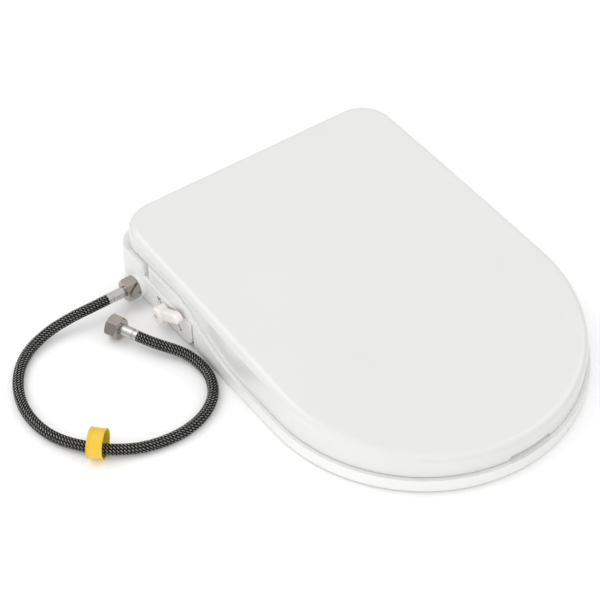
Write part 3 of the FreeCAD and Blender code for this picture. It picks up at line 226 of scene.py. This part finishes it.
def soft_rubber(name, colour, rough=(0.5, 0.7), transmission=0.0, specular=0.35):
    """Moulded rubber: matt skin with bloom on it."""
    s = Shader(name, transmission=transmission, specular=specular)
    bloom = s.noise(160.0, detail=6, rough=0.7)
    normal, _ = s.edge(RUBBER_EDGE)
    return s.finish(s.ramp(bloom, shade(colour, 0.88), shade(colour, 1.15)),
                    s.span(bloom, rough[0], rough[1]),
                    s.bump(s.noise(900.0, detail=4), 0.15, 0.0003, normal))


def plated(name, colour, rough=(0.22, 0.36), stretch=(1, 1, 1), lines=900.0, edge=0.0004, edge_highlight=1.2):
    """Plated or plain metal with fine machining lines, flats with random stains, and a painted highlight
    that draws the edges paler.
    """
    s = Shader(name, metallic=1.0)
    brushed = s.noise(lines, detail=3, stretch=stretch)
    stain = s.noise(50.0, detail=2, rough=0.5)
    normal, on_edge = s.edge(edge)
    # painted highlight: the edges are drawn paler than the rest of the metal
    body = s.blend(on_edge, s.ramp(stain, shade(colour, 0.92), shade(colour, 1.04)), shade(colour, edge_highlight))
    return s.finish(body, s.span(stain, rough[0], rough[1]), s.bump(brushed, 0.03, 0.0001, normal))


WHITE = (0.69, 0.695, 0.675)
MATERIALS = {
    # lid and seat are one white plastic: the lid's is set darker, painted shade on its lamp-lit top, and
    # the seat's paler, painted light on its shaded side walls
    "lid_plastic": moulded("lid_plastic", WHITE, rough=(0.2, 0.23), coat=0.25),
    "seat_plastic": moulded("seat_plastic", (0.77, 0.772, 0.755), rough=(0.24, 0.27), coat=0.15),
    "housing_plastic": moulded("housing_plastic", (0.77, 0.772, 0.76), rough=(0.32, 0.36), grain=0.05),
    "mount_plastic": moulded("mount_plastic", (0.6, 0.61, 0.61), rough=(0.45, 0.6), grain=0.2),
    "nozzle_plastic": moulded("nozzle_plastic", (0.74, 0.76, 0.77), rough=(0.12, 0.2)),
    "fitting_plastic": moulded("fitting_plastic", (0.78, 0.78, 0.76), rough=(0.3, 0.42), grain=0.08),
    "knob_plastic": moulded("knob_plastic", (0.84, 0.8, 0.77), rough=(0.24, 0.34), edge=0.0008, wear=0.6),
    "dark_plastic": moulded("dark_plastic", (0.1, 0.105, 0.11), rough=(0.4, 0.55), grain=0.15),
    "clear_rubber": soft_rubber("clear_rubber", (0.72, 0.73, 0.71), rough=(0.3, 0.45), transmission=0.25),
    "grey_rubber": soft_rubber("grey_rubber", (0.28, 0.285, 0.285)),
    "black_rubber": soft_rubber("black_rubber", (0.025, 0.025, 0.026)),
    "steel": plated("steel", (0.56, 0.56, 0.57), lines=700.0),
    "nickel": plated("nickel", (0.4, 0.365, 0.335), rough=(0.06, 0.12), stretch=(0.12, 1, 1), edge_highlight=1.8),
    "braid": soft_rubber("braid_core", (0.01, 0.01, 0.0105), rough=(0.5, 0.7), specular=0.15),
    "yellow_band": moulded("yellow_band", (0.74, 0.49, 0.03), rough=(0.3, 0.45), grain=0.12, wear=0.7),
}
CRIMPED = plated("crimped_sleeve", (0.56, 0.55, 0.53), rough=(0.2, 0.34), stretch=(1, 1, 0.2), edge_highlight=1.25)
STEEL_WIRE = plated("steel_wire", (0.6, 0.59, 0.56), rough=(0.22, 0.35), lines=300.0, edge=0.0001)
BLACK_YARN = soft_rubber("black_yarn", (0.012, 0.012, 0.0125), rough=(0.5, 0.7), specular=0.15)
MARK_INK = soft_rubber("mark_ink", (0.03, 0.03, 0.032))


def dress(obj, material):
    obj.data.materials.clear()
    obj.data.materials.append(material)


for part in frame["record"]["subparts"]:
    dress(NODES[part["node"]], MATERIALS[part["material_slot"]])
for node in ("hose_ferrule_inlet", "hose_ferrule_free"):
    dress(NODES[node], CRIMPED)


# ---------------------------------------------------------------- supply hose

HOSE_ROUTE = [
    (-0.2289, 0.0055, 0.0205),
    (-0.2499, 0.0055, 0.0205),
    (-0.2740, 0.0095, 0.0165),
    (-0.3010, 0.0115, 0.0105),
    (-0.3290, 0.0045, 0.0066),
    (-0.3510, -0.0125, 0.006),
    (-0.3670, -0.0365, 0.006),
    (-0.3760, -0.0645, 0.006),
    (-0.3770, -0.0940, 0.006),
    (-0.3695, -0.1230, 0.0063),
    (-0.3530, -0.1495, 0.0079),
    (-0.3310, -0.1720, 0.0079),
    (-0.3040, -0.1865, 0.0063),
    (-0.2750, -0.1930, 0.006),
    (-0.2495, -0.1925, 0.006),
    (-0.2255, -0.1845, 0.006),
    (-0.2063, -0.1690, 0.006),
    (-0.1955, -0.1475, 0.006),
    (-0.1935, -0.1235, 0.0063),
    (-0.2005, -0.1000, 0.009),
    (-0.2194, -0.0780, 0.0140),
    (-0.2286, -0.0570, 0.0140),
]
CORE_RADIUS = 0.0054
BRAID_RADIUS = 0.0057      # middle of the braid
BRAID_RISE = 0.00016       # each strand passes this far over or under it
BRAID_STRANDS = 10         # each way round
BRAID_LEAD = 0.036         # length of one turn of a strand
STEPS_PER_CROSSING = 4
WIRE_RADIUS = 0.00015
WIRE_SPREAD = 0.00036      # between the wires of one strand
WIRE_PROUD = 0.00013       # wires' middle outside the yarn's
YARN_HALF_WIDTH = 0.00105
YARN_HALF_THICKNESS = 0.00015


def route_curve(name, bevel):
    data = bpy.data.curves.new(name, "CURVE")
    data.dimensions = "3D"
    spline = data.splines.new("NURBS")
    spline.points.add(len(HOSE_ROUTE) - 1)
    for point, place in zip(spline.points, HOSE_ROUTE):
        point.co = (*place, 1)
    spline.order_u = 3
    spline.use_endpoint_u = True
    spline.use_smooth = True
    spline.resolution_u = 16
    data.bevel_depth = bevel
    data.bevel_resolution = 6
    return new_object(name, data)


def centre_line(step):
    """Points of the hose's own spline, spaced by step, with a frame carried along it without twist."""
    guide = route_curve("guide", 0)
    bpy.context.view_layer.update()
    mesh = bpy.data.meshes.new_from_object(guide.evaluated_get(bpy.context.evaluated_depsgraph_get()))
    points = np.array([v.co for v in mesh.vertices], float)
    bpy.data.objects.remove(guide)
    along = np.r_[0, np.cumsum(np.linalg.norm(np.diff(points, axis=0), axis=1))]
    stations = np.linspace(0, along[-1], int(along[-1] / step) + 1)
    line = np.stack([np.interp(stations, along, points[:, k]) for k in range(3)], axis=1)
    tangent = np.gradient(line, axis=0)
    tangent /= np.linalg.norm(tangent, axis=1)[:, None]
    side = np.zeros_like(line)
    carried = np.cross(tangent[0], (0, 0, 1))
    for i, t in enumerate(tangent):
        carried = carried - t * (carried @ t)
        carried /= np.linalg.norm(carried)
        side[i] = carried
    return stations, line, tangent, side, np.cross(tangent, side)


def braid(name, hand, offsets, proud, half_width, half_thickness, sides, material):
    """Strands that all wind one way, with wires at these offsets, woven over and under the other way's."""
    stations, line, tangent, side, top = centre_line(BRAID_LEAD / BRAID_STRANDS / STEPS_PER_CROSSING)
    wave = hand * np.cos(TAU * stations * BRAID_STRANDS / BRAID_LEAD)
    radius = BRAID_RADIUS + proud + BRAID_RISE * wave
    slope = math.atan2(TAU * BRAID_RADIUS, BRAID_LEAD)
    verts, faces = [], []
    for strand in range(BRAID_STRANDS):
        for offset in offsets:
            turn = strand / BRAID_STRANDS + hand * stations / BRAID_LEAD
            angle = TAU * turn + offset / (BRAID_RADIUS * math.cos(slope))
            c, s = np.cos(angle)[:, None], np.sin(angle)[:, None]
            outward = c * side + s * top
            round_way = c * top - s * side
            across = math.cos(slope) * round_way - hand * math.sin(slope) * tangent
            centre = line + radius[:, None] * outward
            first = len(verts)
            ring = [centre + half_thickness * math.sin(TAU * k / sides) * outward
                    + half_width * math.cos(TAU * k / sides) * across for k in range(sides)]
            verts.extend(np.stack(ring, axis=1).reshape(-1, 3))
            faces.extend(grid_faces(len(line), sides, first))
    made = mesh_object(name, verts, faces)
    dress(made, material)
    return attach(made, "base")


hose_core = route_curve("hose_core", CORE_RADIUS)
dress(hose_core, MATERIALS["braid"])
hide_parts("hose")
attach(hose_core, "base")
hose_wires = braid("hose_wires", 1, (-WIRE_SPREAD / 2, WIRE_SPREAD / 2), WIRE_PROUD,
                   WIRE_RADIUS, WIRE_RADIUS, 5, STEEL_WIRE)
hose_yarn = braid("hose_yarn", -1, (0,), 0, YARN_HALF_WIDTH, YARN_HALF_THICKNESS, 6, BLACK_YARN)


# ---------------------------------------------------------------- yellow band round the hose

BAND_SEGMENTS = 96
BAND_LIP = 0.0009          # width of the thicker rim at each end
BAND_THIN = 0.0006         # the middle's surface lies this far inside the rims'
BAND_CHAMFER = 0.0002


def make_band():
    """Ring with a thicker rim at each end, in the place of the CAD ring."""
    vertices = np.array([v.co for v in NODES["hose_band"].data.vertices], float)
    centre = (vertices.min(0) + vertices.max(0)) / 2
    run = np.subtract(HOSE_ROUTE[11], HOSE_ROUTE[10])
    run /= np.linalg.norm(run)
    along = (vertices - centre) @ run
    half = (along.max() - along.min()) / 2
    across = np.cross((0, 0, 1), run)
    from_axis = np.hypot((vertices - centre) @ across, vertices[:, 2] - centre[2])
    outer, inner = from_axis.max(), from_axis.min()
    soft, waist = BAND_CHAMFER, outer - BAND_THIN * 1.1
    one_side = [(half / 3, waist), (half - 1.6 * BAND_LIP, outer - BAND_THIN), (half - BAND_LIP, outer),
                (half - soft, outer), (half, outer - soft), (half, inner + soft), (half - soft, inner),
                (half / 3, inner + soft)]
    profile = one_side + [(-x, r) for x, r in reversed(one_side)]
    verts = []
    for k in range(BAND_SEGMENTS):
        angle = TAU * k / BAND_SEGMENTS
        out = math.cos(angle) * across + math.sin(angle) * np.array((0, 0, 1.0))
        verts.extend(centre + x * run + r * out for x, r in profile)
    made = mesh_object("yellow_band", verts, grid_faces(BAND_SEGMENTS, len(profile), closed_rows=True))
    dress(made, MATERIALS["yellow_band"])
    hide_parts("hose_band")
    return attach(made, "base")


yellow_band = make_band()


# ---------------------------------------------------------------- marks beside the knob

MARK_THICKNESS = 0.00012
KNOB_Y, KNOB_Z = -0.048, 0.0195
MARK_BARS = (              # y and z from the knob's axis, length, width, degrees from level
    (0.0165, 0.0062, 0.0056, 0.0015, 60),
    (0.0135, 0.0082, 0.0046, 0.0014, -35),
    (-0.0245, -0.0040, 0.0052, 0.0015, 40),
    (-0.0270, -0.0072, 0.0044, 0.0014, -30),
)
MARK_DOTS = ((0.0125, 0.0035, 0.0011), (-0.0215, 0.0005, 0.0012))  # y and z from the knob's axis, radius


def mark_bar(bm, x, y, z, length, width, lean):
    """Flat bar on the side face, leaning by so many degrees from level."""
    box = bmesh.ops.create_cube(bm, size=1)["verts"]
    turn = Matrix.Rotation(math.radians(lean), 4, "X")
    size = Matrix.Diagonal((MARK_THICKNESS, length, width, 1))
    bmesh.ops.transform(bm, matrix=Matrix.Translation((x, y, z)) @ turn @ size, verts=box)


def mark_dot(bm, x, y, z, radius):
    turn = Matrix.Translation((x, y, z)) @ Matrix.Rotation(math.pi / 2, 4, "Y")
    bmesh.ops.create_cone(bm, cap_ends=True, segments=24, radius1=radius, radius2=radius,
                          depth=MARK_THICKNESS, matrix=turn)


def make_marks():
    bm = bmesh.new()
    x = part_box("upper_cover")[0].x - MARK_THICKNESS / 2
    for y, z, length, width, lean in MARK_BARS:
        mark_bar(bm, x, KNOB_Y + y, KNOB_Z + z, length, width, lean)
    for y, z, radius in MARK_DOTS:
        mark_dot(bm, x, KNOB_Y + y, KNOB_Z + z, radius)
    mesh = bpy.data.meshes.new("index_marks")
    bm.to_mesh(mesh)
    bm.free()
    made = new_object("index_marks", mesh)
    dress(made, MARK_INK)
    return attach(made, "base")


make_marks()


# ---------------------------------------------------------------- thread inside the free nut

THREAD_PITCH = 0.00181
THREAD_TURNS = 5
THREAD_HEIGHT = 0.0007
THREAD_RADIUS = 0.01008
FREE_RUN = np.array((0.40, -0.9165, 0.0))
FREE_RUN /= np.linalg.norm(FREE_RUN)
THREAD_START = 0.0004      # behind the nut's mouth
THREAD_SINK = 0.0001       # foot of the ridge lies this far inside the nut's wall
THREAD_FADE = 12           # segments over which each end of the ridge rises
SEGMENTS_PER_TURN = 48


def make_thread():
    """Helical ridge on the wall of the nut's bore."""
    vertices = np.array([v.co for v in NODES["hose_nut_free"].data.vertices], float)
    mouth = (vertices @ FREE_RUN).min()
    middle = (vertices.min(0) + vertices.max(0)) / 2
    start = middle + FREE_RUN * (mouth + THREAD_START - middle @ FREE_RUN)
    side = np.cross(FREE_RUN, (0, 0, 1))
    verts = []
    steps = THREAD_TURNS * SEGMENTS_PER_TURN
    for k in range(steps + 1):
        angle = TAU * k / SEGMENTS_PER_TURN
        out = math.cos(angle) * side + math.sin(angle) * np.array((0, 0, 1.0))
        centre = start + FREE_RUN * THREAD_PITCH * k / SEGMENTS_PER_TURN
        height = THREAD_HEIGHT * min(1.0, k / THREAD_FADE, (steps - k) / THREAD_FADE)
        for share, inward in ((0, -THREAD_SINK), (0.35, height), (0.5, height), (0.85, -THREAD_SINK)):
            verts.append(centre + FREE_RUN * THREAD_PITCH * share + out * (THREAD_RADIUS - inward))
    made = mesh_object("nut_thread", verts, grid_faces(steps + 1, 4))
    dress(made, MATERIALS["nickel"])
    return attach(made, "free_nut")


make_thread()


# ---------------------------------------------------------------- floor and light

FLOOR_HALF = 6.0
FLOOR_Z = -0.0003
HORIZON = 0.5              # brightness of the studio at eye level, against 1 overhead
STUDIO_STRENGTH = 0.97
LIGHT_TARGET = Vector((-0.05, -0.15, 0))
LIGHTS = (                 # name, place, width, watts, whether glossy surfaces mirror it
    ("key", (-0.9, 0.9, 1.9), 1.6, 9.0, True),
    ("fill", (1.4, -0.6, 1.6), 1.4, 5.0, True),
    ("side", (-1.6, -1.25, 0.55), 1.2, 10.0, False),
)


def make_floor():
    corners = [(x * FLOOR_HALF, y * FLOOR_HALF, FLOOR_Z) for x, y in ((-1, -1), (1, -1), (1, 1), (-1, 1))]
    floor = mesh_object("floor", corners, [(0, 1, 2, 3)], False)
    s = Shader("floor", roughness=0.9, specular=0.1)
    dress(floor, s.finish(s.ramp(s.noise(3.0), (0.955, 0.955, 0.955), (0.97, 0.97, 0.97))))


def make_studio():
    world = bpy.data.worlds.new("studio")
    world.use_nodes = True
    nodes, links = world.node_tree.nodes, world.node_tree.links
    direction = nodes.new("ShaderNodeTexCoord")
    split = nodes.new("ShaderNodeSeparateXYZ")
    ramp = nodes.new("ShaderNodeValToRGB")
    for element, position, level in zip(ramp.color_ramp.elements, (0.0, 0.5), (HORIZON, 1.0)):
        element.position = position
        element.color = (level, level, level, 1)
    links.new(direction.outputs["Generated"], split.inputs[0])
    links.new(split.outputs["Z"], ramp.inputs["Fac"])
    links.new(ramp.outputs["Color"], nodes["Background"].inputs["Color"])
    nodes["Background"].inputs["Strength"].default_value = STUDIO_STRENGTH
    bpy.context.scene.world = world


def make_lights():
    for name, place, width, power, mirrored in LIGHTS:
        data = bpy.data.lights.new(name, "AREA")
        data.shape = "DISK"
        data.size = width
        data.energy = power
        lamp = new_object(name, data)
        lamp.visible_glossy = mirrored
        lamp.location = place
        lamp.rotation_euler = (LIGHT_TARGET - Vector(place)).to_track_quat("-Z", "Y").to_euler()


make_floor()
make_studio()
make_lights()
bpy.context.scene.view_settings.view_transform = "Standard"
bpy.context.scene.view_settings.look = "None"
